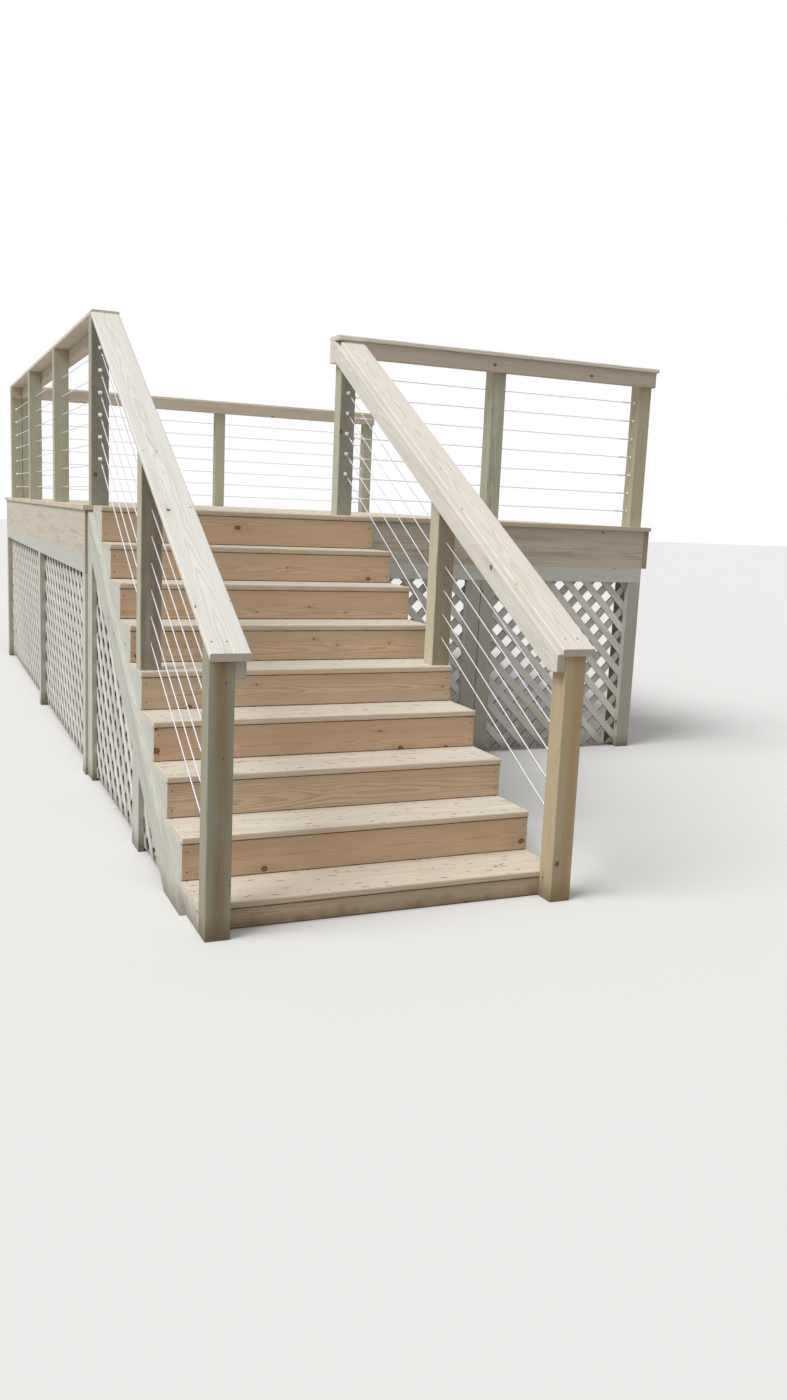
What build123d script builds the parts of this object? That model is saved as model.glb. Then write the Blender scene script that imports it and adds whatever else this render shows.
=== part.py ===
from build123d import *
from math import hypot
import os

# Timber deck stairs: a straight flight of board treads on sawtooth stringers, cable rails on both
# sides, and the end of the raised deck that carries the flight, with its guards and lattice skirts.
# Millimetres. X runs across the flight, Y up the flight into the deck, Z up.
# The origin is on the ground, at the middle of the flight, on the front face of the lowest riser.

# Boards and posts
board_thickness = 24
board_width = 140
board_ease = 4
plank_thickness = 38
plank_width = 89
rim_depth = 235
post_size = 89
post_ease = 3
plank_ease = 3

# Flight
flight_width = 1432
step_count = 8
going = 256
rise = 163
first_rise = 99
top_rise = 171
nosing = 5
stringer_stock = 286
inner_stringer_count = 2

# Landing and deck
landing_run = 293
bay_length = 1525
bay_count = 3
right_posts_out = 1931
front_middle_post_out = 899
back_middle_post_out = 434
deck_overhang_front = 20
deck_overhang_side = 12
deck_board_gap = 5
joist_bays = 3
joist_pitch = 405

# Guards
guard_height = 968
newel_cap_height = 985
landing_cap_drop = 13
cap_overhang = 12
rail_level_cut = 67
mid_post_step = 5
mid_post_set_back = 30
corner_post_gap = 3
stair_cap_outset_right = 30

# Cables
cable_diameter = 5
cable_sides = 6
cable_clearance = 0.5
cable_pitch = 110
stair_cable_count = 6
newel_cable_drop_left = 202
middle_cable_drop_left = 210
landing_cable_drop_left = 170
newel_cable_drop_right = 178
middle_cable_drop_right = 197
landing_cable_drop_right = 176
deck_cable_pitch = 111
deck_cable_count = 7
deck_cable_drop = 205

# Skirts
skirt_gap = 20
lath_thickness = 8
lath_width = 44
lath_spacing = 140
lattice_lap = 15
lattice_toe = 60
side_skirt_joint = 4440
front_skirt_joint_out = 741
front_joint_gap = 6
stair_skirt_upright = 948

# Worked out from the sizes above
half_width = flight_width / 2
deck_height = first_rise + (step_count - 1) * rise + top_rise
top_riser_face = step_count * going
rim_face = top_riser_face + landing_run
rim_top = deck_height - board_thickness
rim_bottom = rim_top - rim_depth
post_line = rim_face + plank_thickness
far_post_line = post_line + bay_count * bay_length
far_rim_face = far_post_line + post_size
deck_back = far_rim_face + plank_thickness
deck_left = -half_width - plank_thickness
lattice_thickness = 2 * lath_thickness
deck_right_post = half_width + right_posts_out
front_middle_post = half_width + front_middle_post_out
back_middle_post = half_width + back_middle_post_out
deck_right = deck_right_post + post_size / 2
cap_top = deck_height + guard_height
cap_under = cap_top - board_thickness
inner_face = half_width - post_size
slope = (cap_top - landing_cap_drop - newel_cap_height) / (post_line + post_size)
slope_length = hypot(1, slope)


def save(piece, label):
    """Name a finished piece and write it as its own STEP file."""
    piece.part.label = label
    export_step(piece.part, f"parts/{label}.step")


def tread_top(step):
    """Height of the walking surface of a step, counted from 1 at the bottom."""
    return first_rise + (step - 1) * rise


def cap_line(y):
    """Height of the top of the sloping cap board above a place along the flight."""
    return newel_cap_height + (y + post_size) * slope


def cap_underside(y):
    """Height of the underside of the sloping cap board."""
    return cap_line(y) - board_thickness * slope_length


def block(x, y, z):
    """A plain board or post between a low and a high limit along each axis."""
    with BuildPart() as piece:
        with BuildSketch(Plane.XY.offset(z[0])):
            with Locations(((x[0] + x[1]) / 2, (y[0] + y[1]) / 2)):
                Rectangle(x[1] - x[0], y[1] - y[0])
        extrude(amount=z[1] - z[0])
    return piece


def eased(x, y, z, axis, ease):
    """A board or post whose long edges are eased."""
    with BuildPart() as piece:
        add(block(x, y, z))
        chamfer(piece.edges().filter_by(axis), ease)
    return piece


def side_profile(outline, x, width):
    """A board cut to an outline in Y and Z and as wide as stated, from x towards the right."""
    with BuildPart() as piece:
        with BuildSketch(Plane.YZ.offset(x)):
            with BuildLine():
                Polyline(*outline, close=True)
            make_face()
        extrude(amount=width)
    return piece


def group(pieces):
    """Several like pieces that don't touch, kept as one named set."""
    with BuildPart() as together:
        add([piece.part for piece in pieces])
    return together


os.makedirs("parts", exist_ok=True)

# Treads: one board each, its back edge under the riser above. The lowest is cut round the newels.
tread_depth = nosing + going + board_thickness
for step in range(1, step_count + 1):
    nose = (step - 1) * going - nosing
    with BuildPart() as tread:
        add(block((-half_width, half_width), (nose, nose + tread_depth),
                  (tread_top(step) - board_thickness, tread_top(step))))
        nose_edges = tread.edges().filter_by(Axis.X).group_by(Axis.Y)[0]
        chamfer(nose_edges, board_ease)
        if step == 1:
            with BuildSketch(Plane.XY.offset(tread_top(step) - board_thickness)):
                with GridLocations(flight_width - post_size, 0, 2, 1):
                    with Locations((0, nose)):
                        Rectangle(post_size, 2 * nosing)
            extrude(amount=board_thickness, mode=Mode.SUBTRACT)
    save(tread, f"tread_{step}")

with BuildPart() as landing_tread:
    add(block((-half_width, half_width),
              (top_riser_face - nosing, rim_face - deck_overhang_front - deck_board_gap),
              (rim_top, deck_height)))
    chamfer(landing_tread.edges().filter_by(Axis.X).group_by(Axis.Y)[0], board_ease)
save(landing_tread, "landing_tread")

# Risers: each stands on the tread below and carries the nose of the tread above
riser_feet = [0] + [tread_top(step) for step in range(1, step_count + 1)]
riser_heads = [tread_top(step) - board_thickness for step in range(1, step_count + 1)] + [rim_top]
risers = [
    block((-half_width, half_width), (place * going, place * going + board_thickness), (foot, head))
    for place, (foot, head) in enumerate(zip(riser_feet, riser_heads))
]
save(group(risers), "risers")

# Sawtooth stringers: seats for the treads, plumb cuts for the risers, parallel lower edge
pitch_rise = (rim_top - (first_rise - board_thickness)) / top_riser_face
stringer_drop = stringer_stock * hypot(1, pitch_rise)


def stringer_underside(y):
    """Height of the lower edge of a stringer."""
    return first_rise - board_thickness + (y - board_thickness) * pitch_rise - stringer_drop


stringer_heel = board_thickness + (stringer_drop - first_rise + board_thickness) / pitch_rise
teeth = [(board_thickness, 0)]
for step in range(1, step_count + 1):
    front = (step - 1) * going + board_thickness
    seat = tread_top(step) - board_thickness
    teeth += [(front, seat), (front + going, seat)]
teeth += [(top_riser_face + board_thickness, rim_top), (rim_face, rim_top)]
stringer_outline = teeth + [(rim_face, stringer_underside(rim_face)), (stringer_heel, 0)]

save(side_profile(stringer_outline, -half_width, plank_thickness), "stringer_left")
save(side_profile(stringer_outline, half_width - plank_thickness, plank_thickness), "stringer_right")
stringer_spacing = (flight_width - plank_thickness) / (inner_stringer_count + 1)
inner_stringers = [
    side_profile(stringer_outline, -half_width + place * stringer_spacing, plank_thickness)
    for place in range(1, inner_stringer_count + 1)
]
save(group(inner_stringers), "inner_stringers")

# Stair rail cables: each is straight from the newel to the middle post, and from there to the landing.
# A drop is plumb, from the top of the cap to the highest cable.
mid_post_front = (mid_post_step - 1) * going + mid_post_set_back
cable_stops = (0, mid_post_front + post_size / 2, post_line)
cable_drops = {
    -1: (newel_cable_drop_left, middle_cable_drop_left, landing_cable_drop_left),
    1: (newel_cable_drop_right, middle_cable_drop_right, landing_cable_drop_right),
}
cable_line_x = half_width - post_size / 2
deck_cable_heights = [
    cap_top - deck_cable_drop - place * deck_cable_pitch for place in range(deck_cable_count)
]


def cable_run(start, run, length, radius):
    """A bar of few sides that starts flush on a plumb face square to the run's level part."""
    level_run = (run[0], run[1], 0)
    with BuildPart() as cable:
        with BuildSketch(Plane(origin=start, x_dir=(run[1], -run[0], 0), z_dir=level_run)):
            RegularPolygon(radius, cable_sides)
        extrude(amount=length, dir=run)
    return cable


def sloping_cable(side, place, radius):
    """One cable of a stair rail, counted from the top, bent where it passes the middle post."""
    heights = [cap_line(y) - drop - place * cable_pitch
               for y, drop in zip(cable_stops, cable_drops[side])]
    points = list(zip(cable_stops, heights))
    with BuildPart() as cable:
        for (y, z), (next_y, next_z) in zip(points, points[1:]):
            stretch = hypot(next_y - y, next_z - z)
            add(cable_run((side * cable_line_x, y, z), (0, next_y - y, next_z - z), stretch, radius))
    return cable


def sloping_post(side, y, foot):
    """A post under the sloping cap, its head cut to the slope."""
    head = [(y, foot), (y + post_size, foot), (y + post_size, cap_underside(y + post_size)),
            (y, cap_underside(y))]
    x = -half_width if side < 0 else inner_face
    with BuildPart() as post:
        add(side_profile(head, x, post_size))
        chamfer(post.edges().filter_by(Axis.Z), post_ease)
    return post


def bored_sloping_post(side, y, foot):
    """A sloping-head post that the cables run through."""
    with BuildPart() as post:
        add(sloping_post(side, y, foot))
        for place in range(stair_cable_count):
            add(sloping_cable(side, place, cable_diameter / 2 + cable_clearance), mode=Mode.SUBTRACT)
    return post


# Posts of the flight
newels = [sloping_post(side, -post_size, 0) for side in (-1, 1)]
save(group(newels), "newel_posts")
mid_posts = [bored_sloping_post(side, mid_post_front, tread_top(mid_post_step)) for side in (-1, 1)]
save(group(mid_posts), "mid_stair_posts")

# Posts of the deck guards, bolted inside the rim boards
landing_posts = [
    eased((x, x + post_size), (post_line, post_line + post_size), (rim_bottom, cap_under),
          Axis.Z, post_ease)
    for x in (-half_width, inner_face)
]
save(group(landing_posts), "landing_posts")


def bored_post_y(x, y):
    """A guard post bored along Y for the level cables that pass through it."""
    with BuildPart() as post:
        add(eased((x, x + post_size), (y, y + post_size), (rim_bottom, cap_under), Axis.Z, post_ease))
        for height in deck_cable_heights:
            with BuildSketch(Plane(origin=(x + post_size / 2, y, height), z_dir=(0, 1, 0))):
                RegularPolygon(cable_diameter / 2 + cable_clearance, cable_sides)
            extrude(amount=post_size, mode=Mode.SUBTRACT)
    return post


def bored_post_x(x, y):
    """A guard post bored along X for the level cables that pass through it."""
    with BuildPart() as post:
        add(eased((x, x + post_size), (y, y + post_size), (rim_bottom, cap_under), Axis.Z, post_ease))
        for height in deck_cable_heights:
            with BuildSketch(Plane(origin=(x, y + post_size / 2, height), z_dir=(1, 0, 0))):
                RegularPolygon(cable_diameter / 2 + cable_clearance, cable_sides)
            extrude(amount=post_size, mode=Mode.SUBTRACT)
    return post


save(group([bored_post_y(-half_width, post_line + bay * bay_length) for bay in range(1, bay_count)]),
     "side_posts")
right_post_x = deck_right - post_size
save(group([bored_post_x(front_middle_post - post_size / 2, post_line),
            eased((right_post_x, deck_right), (post_line, post_line + post_size),
                  (rim_bottom, cap_under), Axis.Z, post_ease)]), "front_guard_posts")

# The far left corner has two posts side by side: the side cables end in one, the back cables in the other
second_corner_post = -inner_face + corner_post_gap
back_end_posts = [
    eased((x, x + post_size), (far_post_line, far_rim_face), (rim_bottom, cap_under), Axis.Z, post_ease)
    for x in (-half_width, second_corner_post, right_post_x)
]
back_middle = bored_post_x(back_middle_post - post_size / 2, far_post_line)
save(group(back_end_posts + [back_middle]), "back_guard_posts")

# Stair rails: sloping planks inside the posts, cut level where they cross the end posts
plank_drop = plank_width * slope_length
level_cut = cap_underside(-post_size) - rail_level_cut
level_cut_end = -post_size + (plank_drop - rail_level_cut) / slope
landing_cut = cap_underside(post_line) - plank_drop
reach_cap = -post_size + (cap_under - cap_underside(-post_size)) / slope
rail_outline = [
    (-post_size, level_cut), (level_cut_end, level_cut), (post_line, landing_cut),
    (post_line + post_size, landing_cut), (post_line + post_size, cap_under),
    (reach_cap, cap_under), (-post_size, cap_underside(-post_size)),
]
save(side_profile(rail_outline, -inner_face, plank_thickness), "stair_rail_left")
save(side_profile(rail_outline, inner_face - plank_thickness, plank_thickness), "stair_rail_right")

# Stair caps: wide boards laid flat on the posts and planks, both ends cut plumb


def stair_cap(x, end):
    """A sloping cap board from just past the newel to the landing."""
    start = -post_size - cap_overhang
    outline = [(start, cap_underside(start)), (end, cap_underside(end)),
               (end, cap_line(end)), (start, cap_line(start))]
    with BuildPart() as cap:
        add(side_profile(outline, x, board_width))
        along = cap.edges().filter_by(Plane.YZ).filter_by(lambda edge: edge.length > going)
        chamfer(along, board_ease)
    return cap


save(stair_cap(-half_width, post_line), "stair_cap_left")
save(stair_cap(half_width + stair_cap_outset_right - board_width, rim_face), "stair_cap_right")

# Deck guards: a plank on edge under a flat cap board
plank_under = cap_under - plank_width
save(eased((-inner_face, -inner_face + plank_thickness),
           (post_line + post_size, far_post_line - plank_thickness),
           (plank_under, cap_under), Axis.Y, plank_ease), "side_rail")
save(eased((-half_width, -half_width + board_width), (post_line, far_rim_face + cap_overhang),
           (cap_under, cap_top), Axis.Y, board_ease), "side_cap")
save(eased((-half_width, deck_right), (far_post_line - plank_thickness, far_post_line),
           (plank_under, cap_under), Axis.X, plank_ease), "back_rail")
save(eased((-half_width + board_width, deck_right + cap_overhang),
           (far_rim_face + cap_overhang - board_width, far_rim_face + cap_overhang),
           (cap_under, cap_top), Axis.X, board_ease), "back_cap")
save(eased((inner_face, deck_right), (rim_face, post_line), (plank_under, cap_under), Axis.X, plank_ease),
     "front_rail")
save(eased((inner_face - plank_thickness, deck_right + cap_overhang),
           (rim_face - cap_overhang, rim_face - cap_overhang + board_width),
           (cap_under, cap_top), Axis.X, board_ease), "front_cap")

# Cables
for side, label in ((-1, "stair_cables_left"), (1, "stair_cables_right")):
    save(group([sloping_cable(side, place, cable_diameter / 2)
                for place in range(stair_cable_count)]), label)
side_cable_length = far_post_line - post_line - post_size
save(group([cable_run((-cable_line_x, post_line + post_size, height), (0, 1, 0), side_cable_length,
                      cable_diameter / 2) for height in deck_cable_heights]), "side_cables")
back_cable_length = right_post_x - second_corner_post - post_size
save(group([cable_run((second_corner_post + post_size, far_post_line + post_size / 2, height), (1, 0, 0),
                      back_cable_length, cable_diameter / 2) for height in deck_cable_heights]),
     "back_cables")
front_cable_length = right_post_x - half_width
save(group([cable_run((half_width, post_line + post_size / 2, height), (1, 0, 0), front_cable_length,
                      cable_diameter / 2) for height in deck_cable_heights]), "front_cables")

# Deck frame
save(block((-half_width, deck_right), (rim_face, post_line), (rim_bottom, rim_top)), "front_rim")
save(block((-half_width, deck_right), (far_rim_face, deck_back), (rim_bottom, rim_top)), "back_rim")
save(group([block((deck_left, -half_width), (rim_face, deck_back), (rim_bottom, rim_top)),
            block((deck_right, deck_right + plank_thickness), (rim_face, deck_back),
                  (rim_bottom, rim_top))]), "side_rims")
first_joist = second_corner_post + post_size
flight_joist_pitch = (inner_face - plank_thickness - first_joist) / joist_bays
joist_places = [first_joist + place * flight_joist_pitch for place in range(joist_bays + 1)]
right_joist_count = int((right_post_x - inner_face) / joist_pitch)
joist_places += [joist_places[-1] + place * joist_pitch for place in range(1, right_joist_count + 1)]
save(group([block((x, x + plank_thickness), (post_line, far_rim_face), (rim_bottom, rim_top))
            for x in joist_places]), "joists")

# Deck boards run across, notched round the guard posts
post_places = [(x, y) for y in (post_line, far_post_line) for x in (-half_width, right_post_x)]
post_places += [(-half_width, post_line + bay * bay_length) for bay in range(1, bay_count)]
post_places += [(inner_face, post_line), (front_middle_post - post_size / 2, post_line),
                (second_corner_post, far_post_line), (back_middle_post - post_size / 2, far_post_line)]
boards_front = rim_face - deck_overhang_front
boards_left = deck_left - deck_overhang_side
ledger_face = deck_right + plank_thickness
board_step = board_width + deck_board_gap
deck_board_count = round((deck_back + deck_overhang_side - boards_front + deck_board_gap) / board_step)
boards_middle = boards_front + (deck_board_count * board_step - deck_board_gap) / 2
with BuildPart() as deck_boards:
    with BuildSketch(Plane.XY.offset(rim_top)):
        with Locations(((boards_left + ledger_face) / 2, boards_middle)):
            with GridLocations(0, board_step, 1, deck_board_count):
                Rectangle(ledger_face - boards_left, board_width)
        with Locations(*[(x + post_size / 2, y + post_size / 2) for x, y in post_places]):
            Rectangle(post_size, post_size, mode=Mode.SUBTRACT)
    extrude(amount=board_thickness)
save(deck_boards, "deck_boards")

# Supports from the ground to the deck frame, set in behind the lattice
support_front = post_line + lattice_thickness
support_left = -half_width + lattice_thickness
support_middle = front_middle_post - post_size / 2
support_places = [(x, y) for x in (support_left, right_post_x)
                  for y in (support_front, side_skirt_joint, far_post_line)]
support_places += [(inner_face, support_front), (support_middle, support_front),
                   (support_middle, far_post_line)]
save(group([block((x, x + post_size), (y, y + post_size), (0, rim_bottom))
            for x, y in support_places]), "support_posts")

# Skirt framing flush with the rims
skirt_rail_low = rim_bottom - plank_width
save(block((deck_left, -half_width), (rim_face, deck_back), (skirt_rail_low, rim_bottom)),
     "side_skirt_rail")
save(group([block((deck_left, -half_width), (y, y + plank_width), (0, skirt_rail_low))
            for y in (rim_face, side_skirt_joint, deck_back - plank_width)]), "side_skirt_uprights")
save(block((half_width, deck_right), (rim_face, post_line), (skirt_rail_low, rim_bottom)),
     "front_skirt_rail")
front_skirt_joint = half_width + front_skirt_joint_out
front_uprights = (front_skirt_joint, front_skirt_joint + plank_width + front_joint_gap,
                  deck_right - plank_width)
save(group([block((x, x + plank_width), (rim_face, post_line), (0, skirt_rail_low))
            for x in front_uprights]), "front_skirt_uprights")

# Stair skirts: a board along the stringer's lower edge and two uprights, outside the stringer
trim_drop = board_width * hypot(1, pitch_rise)
trim_outline = [(stringer_heel, 0), (rim_face, stringer_underside(rim_face)),
                (rim_face, stringer_underside(rim_face) + trim_drop),
                (stringer_heel - trim_drop / pitch_rise, 0)]
save(group([side_profile(trim_outline, -half_width - board_thickness, board_thickness),
            side_profile(trim_outline, half_width, board_thickness)]), "stair_skirt_boards")


def skirt_upright(x, y):
    """An upright board of the stair skirt, its head cut to the sloping board."""
    outline = [(y, 0), (y + board_width, 0), (y + board_width, stringer_underside(y + board_width)),
               (y, stringer_underside(y))]
    return side_profile(outline, x, board_thickness)


save(group([skirt_upright(x, y) for x in (-half_width - board_thickness, half_width)
            for y in (stair_skirt_upright, rim_face - board_width)]), "stair_skirt_uprights")


def lattice(plane, outline):
    """Two layers of crossing laths, trimmed to an outline in the plane's own X and Y.

    Corner scraps too short to cross another lath hold on to nothing, so only the joined sheet is kept.
    """
    across = [point[0] for point in outline]
    up = [point[1] for point in outline]
    middle = ((min(across) + max(across)) / 2, (min(up) + max(up)) / 2)
    reach = max(across) - min(across) + max(up) - min(up)
    lath_count = int(reach / lath_spacing) + 1
    with BuildPart() as panel:
        for layer, lean in enumerate((45, -45)):
            with BuildSketch(plane.offset(layer * lath_thickness)):
                with Locations(middle):
                    with GridLocations(lath_spacing, 0, lath_count, 1):
                        Rectangle(reach, lath_width, rotation=lean)
                with BuildLine():
                    Polyline(*outline, close=True)
                make_face(mode=Mode.INTERSECT)
            extrude(amount=lath_thickness)
    with BuildPart() as sheet:
        add(panel.part.solids().sort_by(SortBy.VOLUME)[-1])
    return sheet


side_plane = Plane(origin=(-half_width, 0, 0), x_dir=(0, 1, 0), z_dir=(1, 0, 0))
right_plane = Plane(origin=(half_width - lattice_thickness, 0, 0), x_dir=(0, 1, 0), z_dir=(1, 0, 0))
front_plane = Plane(origin=(0, support_front, 0), x_dir=(1, 0, 0), z_dir=(0, -1, 0))
lattice_head = skirt_rail_low + lattice_lap


def panel_outline(start, end):
    """A rectangular lattice panel between two places, from just clear of the ground."""
    return [(start, skirt_gap), (end, skirt_gap), (end, lattice_head), (start, lattice_head)]


side_joint_middle = side_skirt_joint + plank_width / 2
save(lattice(side_plane, panel_outline(rim_face + plank_width - lattice_lap,
                                       side_joint_middle - deck_board_gap)), "side_lattice_near")
save(lattice(side_plane, panel_outline(side_joint_middle + deck_board_gap,
                                       deck_back - plank_width + lattice_lap)), "side_lattice_far")
front_spans = ((half_width - lattice_lap, front_skirt_joint + lattice_lap),
               (front_uprights[1] + plank_width - lattice_lap, front_uprights[2] + lattice_lap))
save(group([lattice(front_plane, panel_outline(*span)) for span in front_spans]), "front_lattice")

toe = stringer_heel + (skirt_gap + lattice_toe) / pitch_rise
stair_triangle = [(toe, skirt_gap), (rim_face, skirt_gap), (rim_face, stringer_underside(rim_face)),
                  (toe, stringer_underside(toe))]
save(lattice(side_plane, stair_triangle), "stair_lattice_left")
save(lattice(right_plane, stair_triangle), "stair_lattice_right")
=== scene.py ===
"""Timber deck stairs with cable rails and lattice skirts, in bare treated pine for a studio render."""
import logging
import math
import random
from dataclasses import dataclass, field
from enum import Enum
from typing import Any, Iterable, NamedTuple

import bmesh
import bpy
from mathutils import Euler, Matrix, Vector
from mathutils.bvhtree import BVHTree


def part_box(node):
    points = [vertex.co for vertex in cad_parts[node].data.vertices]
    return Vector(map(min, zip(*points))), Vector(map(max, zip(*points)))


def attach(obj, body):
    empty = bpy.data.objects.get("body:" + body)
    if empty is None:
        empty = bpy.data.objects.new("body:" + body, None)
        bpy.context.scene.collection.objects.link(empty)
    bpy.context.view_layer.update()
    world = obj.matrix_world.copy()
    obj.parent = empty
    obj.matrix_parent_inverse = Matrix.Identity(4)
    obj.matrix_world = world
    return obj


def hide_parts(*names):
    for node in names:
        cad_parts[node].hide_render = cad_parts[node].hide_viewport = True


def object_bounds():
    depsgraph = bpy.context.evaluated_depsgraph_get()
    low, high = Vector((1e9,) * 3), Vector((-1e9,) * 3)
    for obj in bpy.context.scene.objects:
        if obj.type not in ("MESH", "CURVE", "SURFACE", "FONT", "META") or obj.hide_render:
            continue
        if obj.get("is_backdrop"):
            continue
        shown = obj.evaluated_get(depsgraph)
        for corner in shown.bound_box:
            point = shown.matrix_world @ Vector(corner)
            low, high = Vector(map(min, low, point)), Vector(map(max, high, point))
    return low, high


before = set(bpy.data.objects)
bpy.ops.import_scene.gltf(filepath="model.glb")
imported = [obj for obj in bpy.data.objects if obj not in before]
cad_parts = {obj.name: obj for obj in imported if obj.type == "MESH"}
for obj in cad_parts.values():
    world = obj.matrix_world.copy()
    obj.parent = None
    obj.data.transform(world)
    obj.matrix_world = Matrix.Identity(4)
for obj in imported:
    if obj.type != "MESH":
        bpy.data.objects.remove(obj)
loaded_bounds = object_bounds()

Feed = bpy.types.Node | bpy.types.NodeSocket  # what feeds an input: an output, or a node for its first
Ring = list[bmesh.types.BMVert]
Shares = tuple[float, float, float]

log = logging.getLogger("deck_stairs")
BODY = "root"
MM = 0.001
# Directions: to the right across the flight, up the flight and into the deck, and up
RIGHT, INWARD, UP = Vector((1, 0, 0)), Vector((0, 1, 0)), Vector((0, 0, 1))
ABOVE = 5.0  # metres, over the whole object
BESIDE = 0.1  # metres off a board, where a screw's line starts
SHARP = math.radians(30)  # least angle of an edge that is rounded off
LOG_PLACE = (5, 95)  # metres along a log at which a board may start, so that no two are alike
SIDE_SHIFT = 7  # metres along, so that a board's sides show other knots than its faces


def linear(hex_colour: str) -> tuple[float, float, float, float]:
    """Turn an sRGB hex colour into linear RGBA.

    Args:
        hex_colour: Colour such as "#DED0B6".

    Returns:
        Linear red, green, blue and an alpha of one.
    """
    parts = [int(hex_colour[place:place + 2], 16) / 255 for place in (1, 3, 5)]
    curve = [part / 12.92 if part <= 0.04045 else ((part + 0.055) / 1.055) ** 2.4 for part in parts]
    return curve[0], curve[1], curve[2], 1.0


@dataclass
class Recipe:
    """A node tree in the making."""

    tree: bpy.types.NodeTree

    def add(self, kind: str, inputs: dict[str | int, Any] | tuple[Any, ...] = (),
            **settings: Any) -> bpy.types.Node:
        """Add one node with its settings and links.

        Args:
            kind: Node type without its leading "ShaderNode".
            inputs: What each input gets, by socket name or in the sockets' order: a value, an output
                socket, or a node for its first output. MapRange's order is value, from, from, to, to.
            settings: Properties of the node.

        Returns:
            The new node.
        """
        node = self.tree.nodes.new("ShaderNode" + kind)
        for key, value in settings.items():
            setattr(node, key, value)
        for key, value in inputs.items() if isinstance(inputs, dict) else enumerate(inputs):
            if isinstance(value, bpy.types.Node):
                value = value.outputs[0]
            if isinstance(value, bpy.types.NodeSocket):
                self.tree.links.new(value, node.inputs[key])
            else:
                node.inputs[key].default_value = value
        return node

    def seen_by(self, *rays: str) -> Feed:
        """Tell the rays that see the pale surroundings from those that light the object.

        Args:
            rays: Outputs of the light path.

        Returns:
            One for those rays, and zero for all others.
        """
        path = self.add("LightPath")
        seen = path.outputs[rays[0]]
        for ray in rays[1:]:
            seen = self.add("Math", (seen, path.outputs[ray]), operation="MAXIMUM")
        return seen


def new_recipe(name: str) -> tuple[bpy.types.Material, Recipe]:
    """Make an empty node material.

    Args:
        name: Name of the real material and how it was made.

    Returns:
        The material, and the recipe for its nodes.
    """
    material = bpy.data.materials.new(name)
    material.use_nodes = True
    material.node_tree.nodes.clear()
    return material, Recipe(material.node_tree)


@dataclass(frozen=True)
class Finish:
    """A real material with its surface, and the name of a slot."""

    name: str
    slot: str

    def material(self) -> bpy.types.Material:
        """Build the material once and hand it out again after that."""
        return bpy.data.materials.get(self.name) or self.build()

    def build(self) -> bpy.types.Material:
        """Build the nodes, which each kind of finish does in its own way."""
        raise NotImplementedError


# What all the boards share. Waves and bumps are counted for each metre, and a pair is the low and the
# high end of a range, or what a board has of it at the least and the most of its tone, warmth or wear.
SMOOTH = "SMOOTHSTEP"
# Parts of a knot: how far squeezed along the fibres, and the radii at which it fades and is gone
KNOT_PARTS = {"core": (0.8, 0.7, 1.05), "middle": (0.8, 0.45, 0.9), "swell": (0.3, 0.6, 3.0)}
KNOT_LAYERS = {"swell": 0.3, "core": 0.85, "rim": 0.8}  # share laid of each
KNOT_POWER = 1.5  # over one, so that small knots outnumber large ones
KNOT_BUMPS, KNOT_RAGGED = 90.0, (0.75, 1.25)  # of the outline, as shares of the knot's radius
RING_PARTING = 0.8  # share of its distance from a knot by which a ring is pushed aside
RING_WAVES, RING_WANDER = (2.2, 13, 13), 0.03  # metres by which a ring strays from its circle
LOG_TAPER = 0.011  # metres of radius for each metre of log
LATE_STARTS, LATE_STOPS = (0.3, 0.86), (0.88, 1.0)  # shares of a year: slow to darken, quick to end
HEART_SHARE = 0.85
FIBRE_WAVES, FIBRE_RANGE, FIBRE_TONE = 6.0, (0.25, 0.75), (0.94, 1.05)
BOARD_TONE = (0.8, 1.2)
TINT_WAVES, TINT_SPREAD, TINT_BY_WARMTH = (3.5, 16, 16), (0.35, 0.7), (1.5, 0.4)
STAIN_WAVES, STAIN_SPREAD, STAIN_BY_WEAR = (1.6, 22, 22), (0.5, 0.75), (0.3, 1.6)
WARM_FROM = 0.35  # warmth at which a board starts to turn
# Painted shade along the risers' long edges, under the nosing and in the joint: bumps for each metre and
# its darkest share
SEAM_SHADE_BUMPS, SEAM_SHADE_SHARE = 35.0, 0.85
# Needles turn by radians from the fibres, and are slender by width over length. Their radius in metres
# is two to three times the real one, which is too fine to show.
NEEDLE_TURN, NEEDLE_SLENDER, NEEDLE_RADIUS = 0.5, 0.13, (0.0011, 0.0026)
LIES_ON = 0.8  # upward part of the normal of a surface that needles lie on
# Soil is thickest at its sinking place, in metres, and its splash is millimetres from low to high
SOIL_BUMPS, SOIL_SHARE, SOIL_SINKS, SOIL_SPLASH = 14.0, 0.7, -0.06, 80.0


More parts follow.
